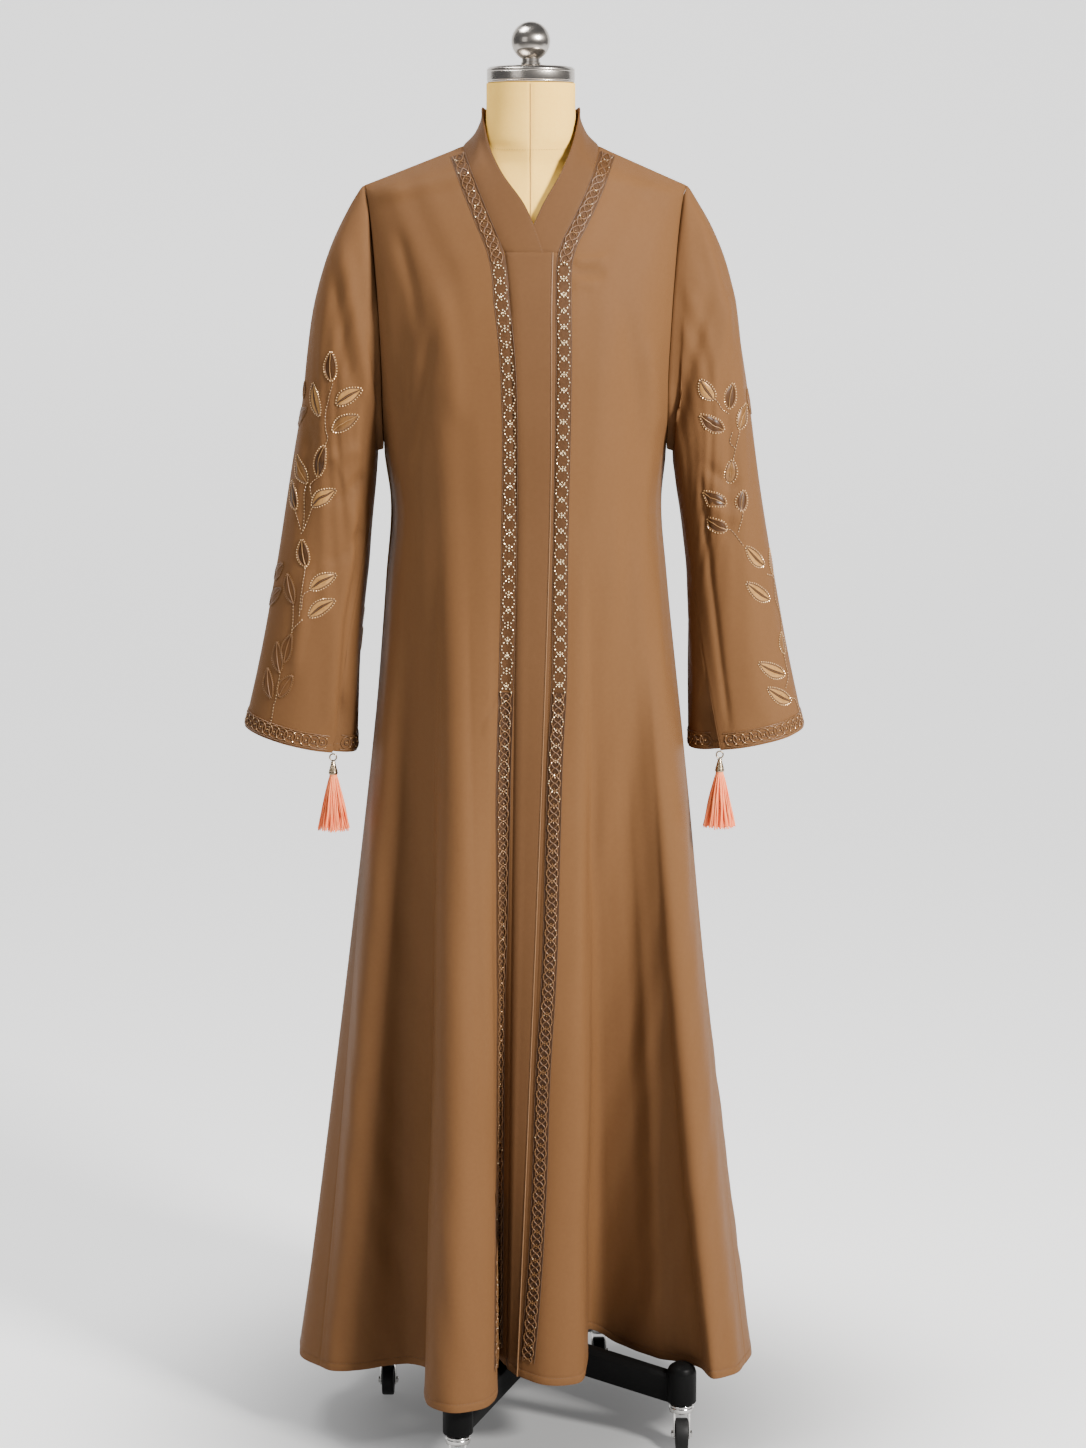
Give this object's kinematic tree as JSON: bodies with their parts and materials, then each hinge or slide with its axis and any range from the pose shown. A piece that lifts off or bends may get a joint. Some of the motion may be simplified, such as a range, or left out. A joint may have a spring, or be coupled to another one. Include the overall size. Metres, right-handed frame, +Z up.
{
  "type": "abaya cloak on a dress form stand",
  "caption": "Open-front abaya cloak, closed at the centre, with long sleeves and cuff tassels, on a limbless dress form with a rolling stand.",
  "frame": {"origin": "on the floor under the middle of the whole", "axes": "+Z up the pole, -Y towards the viewer and out of the cloak's front, +X to the wearer's left"},
  "size_m": [0.6694, 0.457, 1.699],
  "materials": {
    "cloak_satin": "camel brown crepe-backed satin, soft sheen",
    "band_satin": "the same satin, interfaced, slightly darker",
    "form_cover": "cream linen cover",
    "brushed_steel": "polished and brushed steel",
    "black_paint": "satin black enamel",
    "wheel_rubber": "black tread",
    "tassel_thread": "coral silk thread",
    "tassel_metal": "pale brass"
  },
  "bodies": {
    "root": {"front_right": "cloak_satin", "front_left": "cloak_satin", "back": "cloak_satin", "sleeve_right": "cloak_satin", "sleeve_left": "cloak_satin", "neckband_right": "band_satin", "neckband_left": "band_satin", "placket_over": "band_satin", "placket_under": "band_satin", "tassel_right_ring": "tassel_metal", "tassel_right_cap": "tassel_metal", "tassel_right_strands": "tassel_thread", "tassel_left_ring": "tassel_metal", "tassel_left_cap": "tassel_metal", "tassel_left_strands": "tassel_thread", "form_torso": "form_cover", "neck_cap": "brushed_steel", "ball_finial": "brushed_steel", "pole": "brushed_steel", "hub": "black_paint", "leg_1": "black_paint", "leg_2": "black_paint", "leg_3": "black_paint", "leg_4": "black_paint"},
    "caster_1": {"caster_fork_1": "brushed_steel"},
    "wheel_1": {"caster_wheel_1": "wheel_rubber"},
    "caster_2": {"caster_fork_2": "brushed_steel"},
    "wheel_2": {"caster_wheel_2": "wheel_rubber"},
    "caster_3": {"caster_fork_3": "brushed_steel"},
    "wheel_3": {"caster_wheel_3": "wheel_rubber"},
    "caster_4": {"caster_fork_4": "brushed_steel"},
    "wheel_4": {"caster_wheel_4": "wheel_rubber"}
  },
  "joints": [
    {"name": "swivel_1", "type": "hinge", "parent": "root", "child": "caster_1", "pos_m": [0.19022, -0.09814, 0.05], "axis": [0, 0, 1], "continuous": true},
    {"name": "wheel_spin_1", "type": "hinge", "parent": "caster_1", "child": "wheel_1", "pos_m": [0.19022, -0.10815, 0.019], "axis": [1, 0, 0], "continuous": true},
    {"name": "swivel_2", "type": "hinge", "parent": "root", "child": "caster_2", "pos_m": [-0.0789, -0.19397, 0.05], "axis": [0, 0, 1], "continuous": true},
    {"name": "wheel_spin_2", "type": "hinge", "parent": "caster_2", "child": "wheel_2", "pos_m": [-0.0789, -0.20397, 0.019], "axis": [1, 0, 0], "continuous": true},
    {"name": "swivel_3", "type": "hinge", "parent": "root", "child": "caster_3", "pos_m": [-0.17472, 0.07515, 0.05], "axis": [0, 0, 1], "continuous": true},
    {"name": "wheel_spin_3", "type": "hinge", "parent": "caster_3", "child": "wheel_3", "pos_m": [-0.17472, 0.06514, 0.019], "axis": [1, 0, 0], "continuous": true},
    {"name": "swivel_4", "type": "hinge", "parent": "root", "child": "caster_4", "pos_m": [0.0944, 0.17097, 0.05], "axis": [0, 0, 1], "continuous": true},
    {"name": "wheel_spin_4", "type": "hinge", "parent": "caster_4", "child": "wheel_4", "pos_m": [0.0944, 0.16097, 0.019], "axis": [1, 0, 0], "continuous": true}
  ]
}
